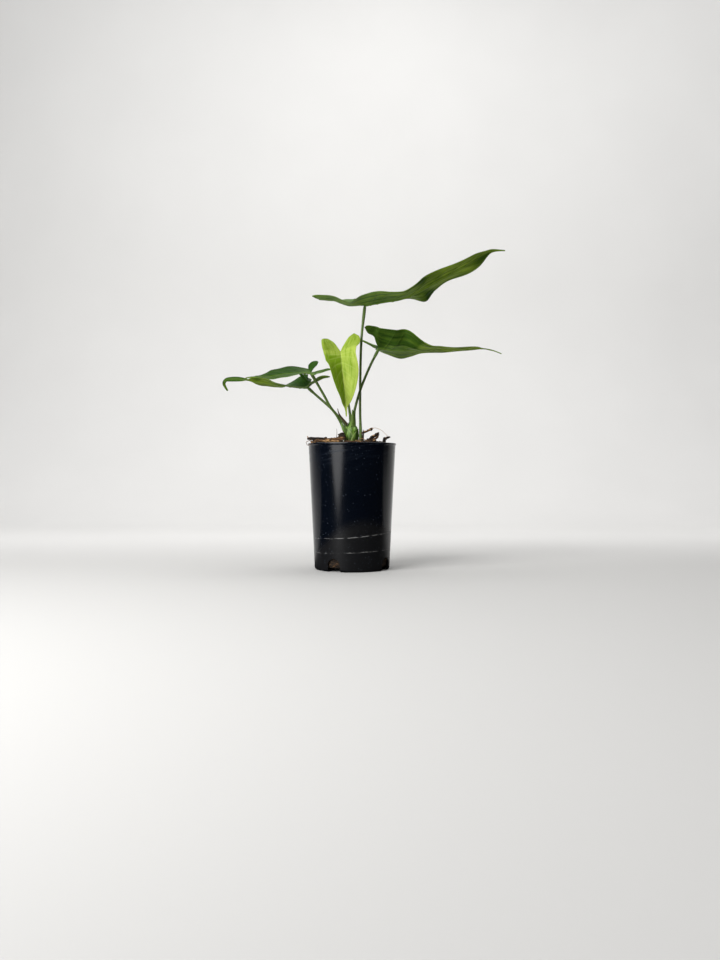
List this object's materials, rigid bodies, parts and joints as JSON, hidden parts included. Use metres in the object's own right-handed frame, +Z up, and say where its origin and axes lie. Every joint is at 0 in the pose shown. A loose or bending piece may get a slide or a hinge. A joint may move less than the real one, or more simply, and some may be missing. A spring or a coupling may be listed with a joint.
{
  "type": "potted aroid plant",
  "caption": "Young aroid with long arrow-shaped leaves on slender stalks, growing in a tall tapered nursery pot filled with coarse bark mix.",
  "frame": {"origin": "centre of the flat disc under the pot, on the surface the pot stands on", "axes": "+Z up the pot and plant, X along the long leaves with the two large ones reaching towards +X, -Y the side that the youngest leaf faces"},
  "size_m": [0.2768, 0.085, 0.3031],
  "materials": {
    "pot": "smooth black nursery pot plastic, lightly scuffed and dusty",
    "potting_mix": "coarse bark potting mix, rough and dry",
    "root": "matte cream-brown root",
    "stem": "waxy green stem",
    "petiole": "satin green leaf stalk",
    "mature_leaf": "satin dark green leaf, paler and olive below",
    "young_leaf": "satin yellow-green young leaf",
    "sheath_green": "satin green sheath",
    "sheath_dry": "dry papery brown sheath",
    "sheath_pale": "pale green sheath"
  },
  "bodies": {
    "root": {"pot": "pot", "stem": "stem", "roots": "root", "potting_mix": "potting_mix", "blade_top": "mature_leaf", "petiole_top": "petiole", "blade_middle": "mature_leaf", "petiole_middle": "petiole", "blade_young": "young_leaf", "petiole_young": "petiole", "blade_low": "mature_leaf", "petiole_low": "petiole", "blade_high": "mature_leaf", "petiole_high": "petiole", "cataphyll_green": "sheath_green", "cataphyll_dry": "sheath_dry", "cataphyll_pale": "sheath_pale"}
  },
  "joints": []
}
